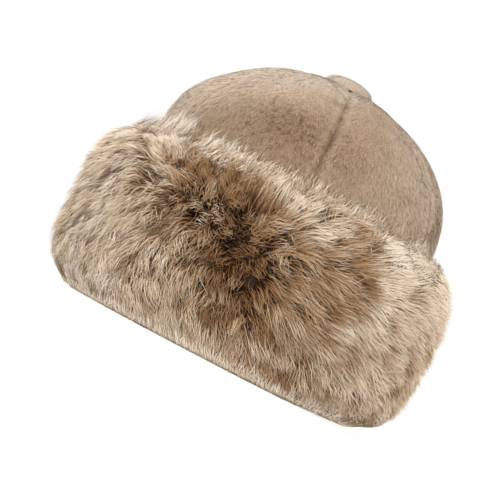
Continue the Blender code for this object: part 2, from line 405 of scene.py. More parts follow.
studio = {
    "floorSize": 80.0,
    "floorColour": (0.15, 0.15, 0.15, 1.0),
    "floorRoughness": 0.9,
    "floorGlow": 0.90,  # keeps the floor as pale as the sky and its shadows faint
    "skyColour": (1.0, 1.0, 1.0, 1.0),
    "skyStrength": 1.01,
    "lamps": {
        # name: (place, size, watts)
        "keySoftbox": ((-1.1, -1.3, 1.3), 1.5, 24.0),
        "fillSoftbox": ((1.3, -1.3, 0.35), 1.5, 12.0),
        "backSoftbox": ((-1.0, 1.3, 1.3), 1.4, 10.0),
    },
    "target": (0.0, 0.0, 0.09),
}


def makeStudio():
    bpy.ops.mesh.primitive_plane_add(size=studio["floorSize"], location=(0.0, 0.0, 0.0))
    floor = bpy.context.active_object
    floor.name = "floor"
    material, shader = newMaterial("paleFloor", studio["floorRoughness"])
    shader["Base Color"].default_value = studio["floorColour"]
    shader["Specular IOR Level"].default_value = 0.0
    shader["Emission Color"].default_value = studio["skyColour"]
    shader["Emission Strength"].default_value = studio["floorGlow"]
    floor.data.materials.append(material)
    world = bpy.data.worlds.new("studioSky")
    world.use_nodes = True
    sky = world.node_tree.nodes["Background"]
    sky.inputs["Color"].default_value = studio["skyColour"]
    sky.inputs["Strength"].default_value = studio["skyStrength"]
    bpy.context.scene.world = world
    for name, (place, size, watts) in studio["lamps"].items():
        data = bpy.data.lights.new(name, "AREA")
        data.size = size
        data.energy = watts
        lamp = bpy.data.objects.new(name, data)
        bpy.context.scene.collection.objects.link(lamp)
        lamp.location = place
        aim = Vector(studio["target"]) - Vector(place)
        lamp.rotation_euler = aim.to_track_quat("-Z", "Y").to_euler()
    bpy.context.scene.view_settings.view_transform = "Standard"


makeCamera()
makeStudio()
print("camera and studio are in place")


# Crown: six plush gores and a button

crown = {
    "gores": 6,
    "depthRatio": 1.125,
    "halfWidth": 0.0975,
    "domeBase": 0.112,
    "domeRise": 0.0795,
    "middle": (0.0, 0.0, 0.09),  # an outside face looks away from here by at least leastOutward
    "leastOutward": 0.3,
    "pileDepth": 0.0013,  # the ground cloth lies this far below the pile's outline
    "swell": (0.0014, 0.0014),  # the dome stands out this far all round, and this much more on the left
    "swellFrom": (0.125, 0.150),
    "seamCrease": 0.75,
    "lowest": 0.096,  # below this the cuff hides the crown
    "hairsPerGore": 38000,
    "hairLength": 0.0042,
    "lengthSpread": (0.8, 1.12),
    "seamLength": 0.80,  # share of its length that a hair has on a seam
    "seamReach": (0.0004, 0.0040),
    "rise": 0.17,  # how steeply a hair stands, beside its lean along the comb
    "riseSpread": (0.4, 1.8),
    "flatTop": (0.35, 0.85, 0.80),  # where the dome faces up this much, the pile rises by this share less
    "lean": 0.95,
    "leanSpread": (0.8, 1.2),
    "leanWave": (0.012, 0.25),  # size and strength
    "comb": {"stray": 0.05, "swirl": 0.6, "swirlSize": 0.030, "hairSwirl": 0.40},
    "twist": 0.5,
    "width": 0.00042,
    "widthSpread": (0.8, 1.25),
    "soften": 0.85,
    "tone": 0.46,
    "hairTone": 0.05,
    "mottle": ((0.018, 0.05, 9.0), (0.006, 0.04, 4.0)),  # size, strength and seed
    # painted light: the front of the dome is paler towards the right
    "paintedRightLight": {"from": 0.020, "to": 0.055, "lift": 0.18},
    # painted shade in the grooves of the seams, strongest at the front seam
    "paintedSeamShade": 0.10,
    "paintedFrontSeamShade": 0.27,
    "frontSeam": (0.140, 0.180),  # from where to where the front seam shows
    "frontSeamFade": (0.010, 0.008),
    "frontSeamSpan": 0.5,  # over about this many radians to either side a seam still counts as the front one
    "seamWidth": 0.0024,
    "seamShadeBreaks": {"size": 0.008, "level": 0.55, "wave": 2.2, "most": 1.4},  # breaks up the painted shade in the seam's groove
    "ridge": 0.10,  # pale pile beside the front seam
    "ridgePlace": (0.0052, 0.0022),
    "brownPatch": {"centre": (-0.022, 0.145), "size": (0.034, 0.018), "shade": 0.11},
    "specks": {"size": 0.0024, "from": 0.05, "to": 0.45, "shade": 0.36},
    # painted highlight: the pile is paler up on the left, where the dome faces the light from above
    "paleTop": {"from": 0.162, "to": 0.200, "tilt": 0.65, "lift": 0.28},
    "paintedRightGoreShade": {"from": (1.08, 1.20), "until": (1.7, 2.1), "shade": 0.12},  # painted shade on the gore beyond the right seam, which is turned away from the key light; in radians
    "creaseShadeDepth": 0.012,
    "creaseShades": (
        # across, up, half-width, half-height, shade: painted shade in short creases and folds on the front of
        # the dome
        (0.0835, 0.131, 0.0026, 0.0050, 0.25),
        (-0.0160, 0.1870, 0.0085, 0.0020, 0.24),
        (0.0004, 0.1470, 0.0017, 0.0060, 0.40),
        (0.0010, 0.1750, 0.0020, 0.0034, 0.30),
        (-0.0045, 0.1730, 0.0045, 0.0022, 0.22),
    ),
    "ground": {
        "dark": (0.36, 0.255, 0.165),
        "light": (0.47, 0.345, 0.24),
        "patchScale": 70.0,
        "fleckScale": 1100.0,
        "bump": 0.0004,
    },
    "inside": {
        "dark": (0.36, 0.28, 0.20),
        "light": (0.46, 0.37, 0.28),
        "patchScale": 40.0,
        "fleckScale": 1500.0,
        "bump": 0.0004,
    },
    "hair": {
        "root": (0.30, 0.20, 0.12),
        "middle": (0.47, 0.345, 0.235),
        "tip": (0.66, 0.52, 0.385),
        "pale": (0.80, 0.70, 0.585),
        "toneReach": 1.1,
        "roughness": 0.8,
        "sheen": 0.25,
    },
}


def isOutside(face):
    away = face.center - Vector(crown["middle"])
    return away.dot(face.normal) > crown["leastOutward"] * away.length


def inwards(place):
    # the way into the dome; it depends on the place alone, so neighbouring gores stay together
    up = max(0.0, place.z - crown["domeBase"]) / crown["domeRise"] ** 2
    half = crown["halfWidth"]
    return -Vector((place.x / half ** 2, place.y / (half * crown["depthRatio"]) ** 2, up)).normalized()


def plushShell(nodeName, pieceName, levels):
    piece = copyOfNode(nodeName, pieceName)
    mesh = piece.data
    outer = {index for face in mesh.polygons if isOutside(face) for index in face.vertices}
    for index in outer:
        place = mesh.vertices[index].co
        everywhere, leftMore = crown["swell"]
        swell = everywhere + leftMore * smoothstep(-place.x, 0.0, crown["halfWidth"])
        depth = crown["pileDepth"] - swell * smoothstep(place.z, *crown["swellFrom"])
        mesh.vertices[index].co = place + inwards(place) * depth
    sidesOf = {}
    for face in mesh.polygons:
        for key in face.edge_keys:
            sidesOf.setdefault(key, set()).add(isOutside(face))
    crease = mesh.attributes.new("crease_edge", "FLOAT", "EDGE")
    for edge in mesh.edges:
        if len(sidesOf[edge.key]) == 2:
            crease.data[edge.index].value = crown["seamCrease"]
    applyModifier(piece, "SUBSURF", levels=levels, render_levels=levels)
    piece.data.shade_smooth()
    piece.data.materials.append(groundCloth)
    piece.data.materials.append(insideCloth)
    for face in piece.data.polygons:
        face.material_index = 0 if isOutside(face) else 1
    return piece


def scatter(piece, count, rng):
    # points spread evenly by area over the outside of a shell, with their normals
    mesh = piece.data
    mesh.calc_loop_triangles()
    places = np.empty(len(mesh.vertices) * 3, np.float32)
    mesh.vertices.foreach_get("co", places)
    places = places.reshape(-1, 3)
    normals = np.array([normal.vector for normal in mesh.vertex_normals])
    slots = np.array([triangle.material_index for triangle in mesh.loop_triangles])
    triangles = np.array([triangle.vertices for triangle in mesh.loop_triangles])
    heights = places[triangles].mean(axis=1)[:, 2]
    triangles = triangles[(slots == 0) & (heights > crown["lowest"])]
    a, b, c = (places[triangles[:, k]] for k in range(3))
    areas = np.linalg.norm(np.cross(b - a, c - a), axis=1)
    reach = np.cumsum(areas) / areas.sum()
    chosen = np.searchsorted(reach, (np.arange(count) + rng.random(count)) / count)
    chosen = np.minimum(chosen, len(triangles) - 1)
    first, second = rng.random(count), rng.random(count)
    over = first + second > 1.0
    first[over], second[over] = 1.0 - first[over], 1.0 - second[over]
    weights = np.stack([1.0 - first - second, first, second], axis=1)
    corners = triangles[chosen]
    points = np.einsum("nk,nkd->nd", weights, places[corners])
    facing = unit(np.einsum("nk,nkd->nd", weights, normals[corners]))
    return points, facing


def seamDistance(points):
    # metres to the nearest seam, and a weight that is 1 at the front seam
    step = 2.0 * math.pi / crown["gores"]
    angle = np.arctan2(points[:, 0], -points[:, 1] / crown["depthRatio"])
    off = (angle + 0.5 * step) % step - 0.5 * step
    radius = np.hypot(points[:, 0], points[:, 1])
    return np.abs(off) * radius, np.exp(-((angle / crown["frontSeamSpan"]) ** 2))


def plushTone(points, seam, front):
    # mottled, brown and speckled left of the front seam; painted highlight up on the left, painted light
    # towards the right, and painted shade on the gore beyond the right seam, in the creases and in the seams
    x, y, z = points.T
    tones = np.full(len(points), crown["tone"])
    for size, strength, seed in crown["mottle"]:
        tones += strength * noiseAt(points, size, seed)
    patch, specks = crown["brownPatch"], crown["specks"]
    brown = spotAt(x, z, *patch["centre"], *patch["size"]) * (y < 0.0)
    dotted = smoothstep(noiseAt(points, specks["size"], seed=5.0), specks["from"], specks["to"])
    tones -= brown * (patch["shade"] + specks["shade"] * dotted)
    # painted light, paler towards the right
    right = crown["paintedRightLight"]
    tones += right["lift"] * smoothstep(x, right["from"], right["to"])
    # painted highlight up on the left of the dome
    top = crown["paleTop"]
    tones += top["lift"] * smoothstep(z - top["tilt"] * x, top["from"], top["to"])
    place, size = crown["ridgePlace"]
    tones += crown["ridge"] * (0.5 + 0.5 * front) * np.exp(-((seam - place) / size) ** 2)
    angle = np.arctan2(x, -y / crown["depthRatio"])
    # painted shade on the gore beyond the right seam
    gore = crown["paintedRightGoreShade"]
    tones -= gore["shade"] * smoothstep(angle, *gore["from"]) * (1.0 - smoothstep(angle, *gore["until"]))
    # painted shade in the creases
    for across, up, halfWidth, halfHeight, shade in crown["creaseShades"]:
        sideways = across / crown["halfWidth"]
        upwards = (up - crown["domeBase"]) / crown["domeRise"]
        inwardShare = math.sqrt(max(1.0 - sideways ** 2 - upwards ** 2, 0.0))
        depth = crown["halfWidth"] * crown["depthRatio"] * inwardShare
        near = np.exp(-((y + depth) / crown["creaseShadeDepth"]) ** 2)
        tones -= shade * near * spotAt(x, z, across, up, halfWidth, halfHeight)
    low, high = crown["frontSeam"]
    fadeLow, fadeHigh = crown["frontSeamFade"]
    shown = front * smoothstep(z, low, low + fadeLow) * (1.0 - smoothstep(z, high - fadeHigh, high))
    seamShadeBreaks = crown["seamShadeBreaks"]
    broken = seamShadeBreaks["level"] + seamShadeBreaks["wave"] * noiseAt(points, seamShadeBreaks["size"], seed=2.0)
    broken = np.clip(broken, 0.0, seamShadeBreaks["most"])
    # painted shade in the seam's groove
    shade = crown["paintedSeamShade"] + (crown["paintedFrontSeamShade"] - crown["paintedSeamShade"]) * shown
    return tones - shade * broken * np.exp(-(seam / crown["seamWidth"]) ** 2)


def plushPile(shell, name, count, seed, scale=1.0, lift=0.0, sewn=True):
    rng = np.random.default_rng(seed)
    points, facing = scatter(shell, count, rng)
    comb = crown["comb"]
    downhill = np.array([0.0, 0.0, -1.0]) + comb["stray"] * rng.normal(size=facing.shape)
    downhill = unit(downhill - facing * np.sum(downhill * facing, axis=1, keepdims=True))
    seam, front = seamDistance(points)
    if not sewn:
        seam = np.full(count, 1.0)
    swirl = comb["swirl"] * noiseAt(points, comb["swirlSize"], seed=3.0)
    swirl += comb["hairSwirl"] * rng.normal(size=count)
    sideways = np.cross(facing, downhill)
    combed = downhill * np.cos(swirl)[:, None] + sideways * np.sin(swirl)[:, None]
    length = crown["hairLength"] * scale * rng.uniform(*crown["lengthSpread"], count)
    length *= crown["seamLength"] + (1.0 - crown["seamLength"]) * smoothstep(seam, *crown["seamReach"])
    low, high, share = crown["flatTop"]
    rise = crown["rise"] * rng.uniform(*crown["riseSpread"], count)
    rise *= 1.0 - share * smoothstep(facing[:, 2], low, high)
    waveSize, wave = crown["leanWave"]
    lean = crown["lean"] * (1.0 + wave * noiseAt(points, waveSize, seed=6.0))
    lean *= rng.uniform(*crown["leanSpread"], count)
    tips = points + unit(facing * rise[:, None] + combed * lean[:, None]) * length[:, None]
    lines = np.stack([points, tips], axis=1)
    spread = rng.uniform(*crown["widthSpread"], count)
    widths = np.tile([1.0, 0.0], (count, 1)) * crown["width"] * spread[:, None]
    tones = plushTone(points, seam, front) + lift + crown["hairTone"] * rng.normal(size=count)
    sides = hairSides(lines, facing, rng.uniform(-crown["twist"], crown["twist"], count))
    return ribbonPiece(name, (lines, sides, widths, tones, facing), plushHair, crown["soften"])


groundCloth = pileMaterial("plushGround", crown["ground"])
insideCloth = pileMaterial("plushInside", crown["inside"])
plushHair = hairMaterial("plushHair", crown["hair"])

for number in range(1, crown["gores"] + 1):
    nodeName = f"crown_gore_{number}"
    shell = plushShell(nodeName, f"gore_shell_{number}", levels=2)
    finishPiece(shell, "crown_plush", nodeName)
    pile = plushPile(shell, f"gore_pile_{number}", crown["hairsPerGore"], seed=100 + number)
    finishPiece(pile, "crown_plush")
print("crown gores are covered in plush")

button = {"hairs": 9000, "node": "crown_button", "pileScale": 0.8, "lift": 0.10}

buttonShell = plushShell(button["node"], "button_shell", levels=2)
finishPiece(buttonShell, "button_plush", button["node"])
buttonPile = plushPile(
    buttonShell, "button_pile", button["hairs"], seed=120,
    scale=button["pileScale"], lift=button["lift"], sewn=False)
finishPiece(buttonPile, "button_plush")
print("button is covered")


# Cuff: an undercoat over the backing, short underfur, long fur in clumps, a hem and wisps at the rim

cuff = {
    "node": "fur_cuff",
    "planHalfWidth": 0.0920,  # plan ellipse from which the fur's depth is counted
    "depthRatio": 1.125,
    "meanRadius": 0.118,  # turns metres round the cuff into an angle
    "fullness": (2.05, 2.5),  # roundness of the section's lower and upper half: 2 is an ellipse
    "skin": (0.0145, 0.1080),  # depth and height of the skin
    "tips": (0.0350, 0.1180),  # depth and height of the hair tips
    "rootTurns": (math.radians(-76), math.radians(82)),
    "tipTurns": (math.radians(-86), math.radians(86)),
    "soleEdge": (0.0066, 0.0100),  # the hair stays this far out, up to this height
    "soleRight": 0.45,  # drawn in by this share at the right end
    "rightRise": 0.0025,  # the lowest hair lies this much higher at the right end
    "rightRiseTo": 0.014,  # and less and less up to this height
    "fluff": (
        # height, and how much further the hair stands out at the left and the right end
        (0.000, 0.0000, -0.0030),
        (0.006, 0.0040, 0.0000),
        (0.016, 0.0060, 0.0030),
        (0.028, 0.0050, 0.0026),
        (0.040, 0.0022, 0.0000),
        (0.060, 0.0010, 0.0000),
        (0.100, 0.0030, 0.0000),
    ),
    "leftSag": 0.005,  # the rim hangs lower on the left
    "sagFrom": (0.080, 0.112),
    "crownWidth": (0.0905, 0.0975),
    "crownFlare": (0.040, 0.112),
    "crownGap": -0.0006,  # the hair runs this far into the crown's pile
    "floorGap": 0.0006,
    "sectors": ("back_left", "front_left", "front_right", "back_right"),
    "soften": 0.62,
    "undercoat": {
        "wallMiddle": 0.0075,  # vertices further out than this from the plan ellipse are the outer side
        "nodeSole": 0.0090,  # width of the solid's underside
        "soleWidth": 0.0050,  # of the undercoat's
        "soleBelow": 0.0004,  # lower vertices belong to the sole, and are raised to soleLift
        "soleLift": 0.0016,
        "smooth": {"factor": 0.5, "repeat": 6},
        "leastInward": 0.3,
        "dark": (0.070, 0.039, 0.021),
        "light": (0.24, 0.145, 0.080),
        "pale": (0.62, 0.47, 0.335),  # under the palest fur
        "paleBelow": (-0.010, -0.003),  # and all along the sole, by height counted down, as painted light against the shade by the floor
        "patchScale": 90.0,
        "fleckScale": 700.0,
        "bump": 0.0012,
    },
    "hair": {
        "root": (0.110, 0.056, 0.024),
        "middle": (0.385, 0.243, 0.132),
        "tip": (0.72, 0.595, 0.45),
        "pale": (0.80, 0.70, 0.585),
        "toneReach": 1.15,
        "roughness": 0.75,
        "sheen": 0.0,
    },
}

# how the front's fur is combed: metres right of the middle, height, heading in degrees (0 right, 90 up), pull
combChart = (
    (-0.122, 0.088, -100, 0.8),
    (-0.122, 0.045, -94, 0.9),
    (-0.108, 0.070, -92, 0.9),
    (-0.100, 0.018, -94, 1.0),
    (-0.082, 0.097, 84, 0.35),
    (-0.078, 0.069, -102, 0.8),
    (-0.070, 0.035, -80, 0.9),
    (-0.060, 0.105, 74, 0.6),
    (-0.050, 0.014, -70, 1.0),
    (-0.048, 0.068, -80, 0.55),
    (-0.040, 0.042, -68, 0.8),
    (-0.042, 0.088, 100, 0.2),
    (-0.020, 0.078, -90, 0.05),
    (-0.020, 0.104, 86, 0.7),
    (-0.016, 0.046, -84, 0.5),
    (0.000, 0.020, -62, 1.0),
    (0.012, 0.046, -44, 0.7),
    (0.012, 0.066, -24, 0.6),
    (0.022, 0.094, 12, 0.6),
    (0.030, 0.110, 40, 0.8),
    (0.044, 0.072, -20, 0.8),
    (0.048, 0.056, -38, 0.9),
    (0.040, 0.030, -52, 1.0),
    (0.060, 0.014, -55, 1.0),
    (0.075, 0.100, 20, 0.9),
    (0.085, 0.070, -20, 1.0),
    (0.090, 0.036, -42, 1.0),
    (0.120, 0.080, -16, 0.9),
    (0.122, 0.046, -34, 1.0),
    (0.104, 0.014, -52, 1.0),
)

lie = {
    "chartReach": 0.017,
    "halfWidth": 0.127,  # of the hat as seen from the front
    "stray": 0.22,
    "swirl": 0.40,
    "swirlSize": 0.026,
    "tangle": 0.9,  # extra stray where the comb pulls less than looseBelow
    "looseBelow": (0.15, 0.65),
    "leastPull": 0.28,  # share of the combing that is left where the fur stands straight out
    "mostPull": 1.1,
    "twist": 0.5,  # the most that a hair's ribbon turns from lying flat, in radians
    "upright": 0.45,  # below 1, the ribbons on the rim's top face more to the side than up
    "lowSpots": 0.7,  # the lower the fur, the more its clumps differ in tone
    "lowSpotsAt": (-0.06, -0.03),  # by height counted down
    "behind": (-0.15, 0.70),  # where the back's plain lie takes over, as the cosine of the angle
}

# how much single clumps and hairs differ; a pair is the least and the most
variety = {
    "clumpPull": (0.8, 1.2),
    "clumpTone": 0.07,
    "clumpToneLimits": (-2.0, 1.5),
    "hairPull": (0.75, 1.12),
    "hairLevel": (0.90, 1.03),
    "hairWidth": (0.7, 1.25),
    "hairTone": 0.045,
    "heading": 0.15,
    "gather": 0.16,
    "gatherLimits": (0.1, 0.95),
    "bend": 0.0007,
    "edge": 1.25,  # hairs further than this from their clump's middle, in spreads, are lower, and darker with painted shade between the clumps
    "edgeDrop": 0.035,
    "paintedGapShade": 0.045,
    "wildGather": 0.2,
    "wildHeading": 0.4,
    "wildRise": 0.05,
}

hairCurve = {"gather": 1.2, "pull": 1.3, "rise": 1.7}  # exponents of how each comes in along a hair
evenSteps = (0.7548776662, 0.5698402910)  # multiples of these, less their whole parts, fill a square evenly

# where the fur is dark and pale: places and sizes across the front and up, in metres
tone = {
    "base": 0.595,
    "front": (-0.02, 0.04),  # over this stretch, in metres before the middle, the front's pattern fades in
    "brown": {
        "centre": (-0.012, 0.083),
        "size": (0.078, 0.040),
        "edge": (1.25, 0.70),
        "ragged": 0.30,
        "raggedSize": 0.022,
        "shade": 0.21,
    },
    "core": {"centre": (-0.015, 0.064), "tilt": math.radians(-50), "size": (0.044, 0.018), "shade": 0.30},
    "spots": (
        # metres right of the middle, height, half-width, half-height, lift
        (-0.027, 0.032, 0.018, 0.013, -0.19),
        (0.036, 0.056, 0.018, 0.016, -0.12),
        (0.052, 0.041, 0.026, 0.012, -0.18),
        (0.050, 0.064, 0.010, 0.008, 0.13),
        (0.058, 0.104, 0.009, 0.008, 0.26),
        # a crease in the fur, darkened with painted shade
        (0.103, 0.047, 0.009, 0.005, -0.26),
        (-0.071, 0.096, 0.016, 0.009, -0.13),
        (-0.054, 0.094, 0.010, 0.007, -0.10),
        (-0.066, 0.118, 0.008, 0.005, -0.20),
        (-0.046, 0.079, 0.010, 0.007, 0.20),
        (-0.010, 0.076, 0.012, 0.010, 0.18),
        (-0.010, 0.103, 0.014, 0.010, 0.14),
        (-0.048, 0.109, 0.012, 0.007, 0.20),
        (0.068, 0.088, 0.013, 0.016, 0.28),
        (0.029, 0.110, 0.016, 0.010, -0.25),
        (0.083, 0.113, 0.022, 0.010, -0.12),
    ),
    "ends": {"from": 0.070, "to": 0.100, "lift": (0.070, -0.055)},
    "rim": {
        # metres right of the middle, and the height from which the fur is pale
        "line": (
            (-0.030, 0.103), (0.004, 0.084), (0.018, 0.085),
            (0.042, 0.102), (0.075, 0.098), (0.100, 0.092),
        ),
        "over": 0.010,
        "lift": 0.24,
    },
    "low": {
        # the fur near the sole: darker in the middle of the front and lighter at its ends
        "from": 0.055,
        "to": 0.005,
        "shade": 0.15,
        "lift": 0.09,
        "middle": -0.008,
        "width": (0.055, 0.085),
    },
    "patches": ((0.060, 0.06), (0.018, 0.10), (0.007, 0.08)),  # size and strength
}

underfur = {
    "clumps": 6500,
    "perClump": 7,
    "spread": 0.0030,
    "stray": 0.0040,
    "comb": 0.011,
    "gather": 0.35,
    "level": (0.52, 0.78),
    "shares": (0.0, 0.5, 1.0),
    "width": 0.00075,
    "shape": (0.9, 1.0, 0.0),
    "tone": 0.05,
    "wild": 0.0,
}

longFur = {
    "clumps": 2600,
    "perClump": 31,
    "spread": 0.0038,
    "stray": 0.0030,
    "comb": 0.022,
    "gather": 0.62,
    "level": (0.82, 1.05),
    "shares": (0.0, 0.34, 0.68, 1.0),
    "width": 0.00054,
    "shape": (0.85, 1.0, 0.8, 0.0),
    "tone": 0.0,
    "wild": 0.02,  # share of hairs that stand out of their clump
}

hem = {
    "hairs": 13000,
    "rootTurns": (math.radians(-70), math.radians(-46)),
    "reach": (0.0060, 0.0120),  # how far out from the plan ellipse the tips lie
    "height": (0.0006, 0.0030),
    "width": 0.00060,
    "shape": (0.9, 1.0, 0.0),
    "slant": 0.006,  # metres that the tips follow the comb
    "leastComb": 0.01,  # keeps the comb's direction defined where it hardly pulls
    "stray": 0.0025,
    "rightRise": 0.0025,  # the tips lift off the floor at the right end
    "rootLevel": (0.1, 0.7),
    "bulge": 0.0012,
    "twist": 0.6,
    # pale, and paler still as painted light against the shade by the floor
    "tone": 0.86,
    "toneShare": 0.5,  # of the fur's own light and dark that the hem follows
    "toneStray": 0.08,
}

# pale wisps along the rim: metres right of the middle, rise, tone, lean to the right, lowest root in degrees
rimChart = (
    (-0.124, 0.010, 0.84, -0.5, 42),
    (-0.112, 0.015, 0.92, -0.3, 50),
    (-0.102, 0.017, 0.94, -0.15, 58),
    (-0.096, 0.012, 0.88, -0.1, 60),
    (-0.091, 0.002, 0.58, 0.0, 66),
    (-0.083, 0.002, 0.58, 0.0, 66),
    (-0.078, 0.008, 0.88, -0.1, 58),
    (-0.070, 0.011, 0.92, 0.0, 52),
    (-0.060, 0.007, 0.88, 0.1, 48),
    (-0.050, 0.003, 0.80, 0.2, 48),
    (-0.036, 0.003, 0.78, 0.4, 50),
    (-0.018, 0.005, 0.78, 0.5, 48),
    (-0.006, 0.003, 0.64, 0.5, 48),
    (0.008, 0.007, 0.76, 0.7, 40),
    (0.030, 0.008, 0.74, 0.9, 38),
    (0.062, 0.009, 0.74, 1.0, 38),
    (0.092, 0.009, 0.76, 1.0, 40),
    (0.118, 0.003, 0.80, 0.9, 40),
)

wisps = {
    "clumps": 700,
    "perClump": 38,
    "spread": 0.0040,
    "highestRoot": math.radians(84),
    "rootLevel": (0.30, 0.92),
    "behind": (0.009, 0.84, 0.0, 42),  # rise, tone, lean and lowest root at the back
    "tuftSize": 0.016,
    "tuftWave": 0.9,
    "tuftLimits": (0.3, 1.5),
    "clumpRise": (0.7, 1.2),
    "clumpTone": 0.06,
    "hairRise": (0.15, 1.10),
    "hairTone": 0.05,
    "leanStray": 0.25,
    "hairLean": 0.16,
    "gather": 0.25,
    "gatherStray": 0.20,
    "gatherLimits": (0.0, 0.95),
    "off": (0.0004, 0.0048),  # metres that the tips stay off the crown
    "bulge": 0.0018,
    "arch": 0.0015,
    "twist": 0.3,
    "width": 0.00042,
    "shape": (1.0, 0.7, 0.0),
    "soften": 0.80,
}


def sectionPoint(turn, depth, height):
    power = 2.0 / np.where(turn < 0.0, cuff["fullness"][0], cuff["fullness"][1])
    out = depth * np.cos(turn) ** power
    rise = 0.5 * height * np.sign(turn) * np.abs(np.sin(turn)) ** power
    return out, 0.5 * height + rise


def roundHat(angle, out, height):
    # a point at a distance out from the plan ellipse, kept off the crown and the floor
    low, high = cuff["crownWidth"]
    crownHalfWidth = low + (high - low) * smoothstep(height, *cuff["crownFlare"])
    out = np.maximum(out, crownHalfWidth - cuff["planHalfWidth"] + cuff["crownGap"])
    a = cuff["planHalfWidth"]
    b = a * cuff["depthRatio"]
    normalX, normalY = np.sin(angle) * b, -np.cos(angle) * a
    scale = out / np.hypot(normalX, normalY)
    x = a * np.sin(angle) + normalX * scale
    y = -b * np.cos(angle) + normalY * scale
    return np.stack([x, y, np.maximum(height, cuff["floorGap"])], axis=-1)


def endShare(angle, side):
    # 1 at the hat's right end for side 1, or at its left end for side -1, and 0 at the front and back
    return np.maximum(0.0, side * np.sin(angle)) ** 2


def furPoint(angle, turn, level):
    # level 0 lies on the skin and level 1 at the fur's outline
    skinOut, skinHeight = sectionPoint(turn, *cuff["skin"])
    tipOut, tipHeight = sectionPoint(turn, *cuff["tips"])
    out = skinOut + (tipOut - skinOut) * level
    height = skinHeight + (tipHeight - skinHeight) * level
    onLeft, onRight = endShare(angle, -1), endShare(angle, 1)
    fluff = np.array(cuff["fluff"])
    further = (np.interp(height, fluff[:, 0], fluff[:, k]) for k in (1, 2))
    out = out + level * (onLeft * next(further) + onRight * next(further))
    height = height - cuff["leftSag"] * onLeft * smoothstep(height, *cuff["sagFrom"])
    height = height + cuff["rightRise"] * onRight * (1.0 - smoothstep(height, 0.0, cuff["rightRiseTo"]))
    edgeOut, edgeHeight = cuff["soleEdge"]
    edgeOut = edgeOut * (1.0 - cuff["soleRight"] * onRight)
    out = np.maximum(out, edgeOut * (1.0 - smoothstep(height, 0.0, edgeHeight)))
    return roundHat(angle, out, height)


def behindShare(angle):
    return smoothstep(-np.cos(angle), *lie["behind"])


def furLie(angle, height):
    # across and up parts of the comb's pull; at the back all of the fur hangs down
    x = lie["halfWidth"] * np.sin(angle)
    total = np.full(len(angle), 1e-9)
    aside, up = np.zeros(len(angle)), np.zeros(len(angle))
    for chartX, chartHeight, heading, pull in combChart:
        near = np.exp(-((x - chartX) ** 2 + (height - chartHeight) ** 2) / lie["chartReach"] ** 2)
        total += near
        aside += near * pull * math.cos(math.radians(heading))
        up += near * pull * math.sin(math.radians(heading))
    behind = behindShare(angle)
    return aside / total * (1.0 - behind), up / total * (1.0 - behind) - behind


def furTone(places):
    x, y, z = places.T
    front = smoothstep(-y, *tone["front"])
    brown, core, ends, rim, low = (tone[part] for part in ("brown", "core", "ends", "rim", "low"))
    tones = np.full(len(x), tone["base"])
    away = np.hypot((x - brown["centre"][0]) / brown["size"][0], (z - brown["centre"][1]) / brown["size"][1])
    away += brown["ragged"] * noiseAt(places, brown["raggedSize"], seed=3.0)
    tones -= brown["shade"] * front * smoothstep(-away, -brown["edge"][0], -brown["edge"][1])
    offX, offZ = x - core["centre"][0], z - core["centre"][1]
    along = offX * math.cos(core["tilt"]) + offZ * math.sin(core["tilt"])
    across = offZ * math.cos(core["tilt"]) - offX * math.sin(core["tilt"])
    tones -= core["shade"] * front * spotAt(along, across, 0.0, 0.0, *core["size"])
    tones += np.where(x < 0.0, *ends["lift"]) * smoothstep(np.abs(x), ends["from"], ends["to"])
    line = np.array(rim["line"])
    tones += rim["lift"] * smoothstep(z - np.interp(x, line[:, 0], line[:, 1]), 0.0, rim["over"])
    aside = 1.0 - smoothstep(np.abs(x - low["middle"]), *low["width"])
    tones += (low["lift"] * (1.0 - aside) - low["shade"] * aside) * smoothstep(-z, -low["from"], -low["to"])
    for *spot, lift in tone["spots"]:
        tones += lift * front * spotAt(x, z, *spot)
    for number, (size, strength) in enumerate(tone["patches"]):
        tones += strength * noiseAt(places, size, seed=7.0 + number)
    return tones


def outlineTable():
    # metres along the fur's outline for each turn, from the sole to the rim
    turns = np.linspace(-0.5 * math.pi, 0.5 * math.pi, 2001)
    out, height = sectionPoint(turns, *cuff["tips"])
    steps = np.hypot(np.diff(out), np.diff(height))
    return turns, np.concatenate([[0.0], np.cumsum(steps)])


outlineTurns, outlineLengths = outlineTable()


def turnAt(length):
    return np.interp(length, outlineLengths, outlineTurns)


def lengthAt(turn):
    return np.interp(turn, outlineTurns, outlineLengths)


def evenly(count, series, low, high):
    # a well-spread series of values between two limits
    return low + (high - low) * ((np.arange(count) * evenSteps[series]) % 1.0)


def ribbonWidths(style, rng, count):
    spread = rng.uniform(*variety["hairWidth"], count)
    return np.array(style["shape"])[None] * style["width"] * spread[:, None]


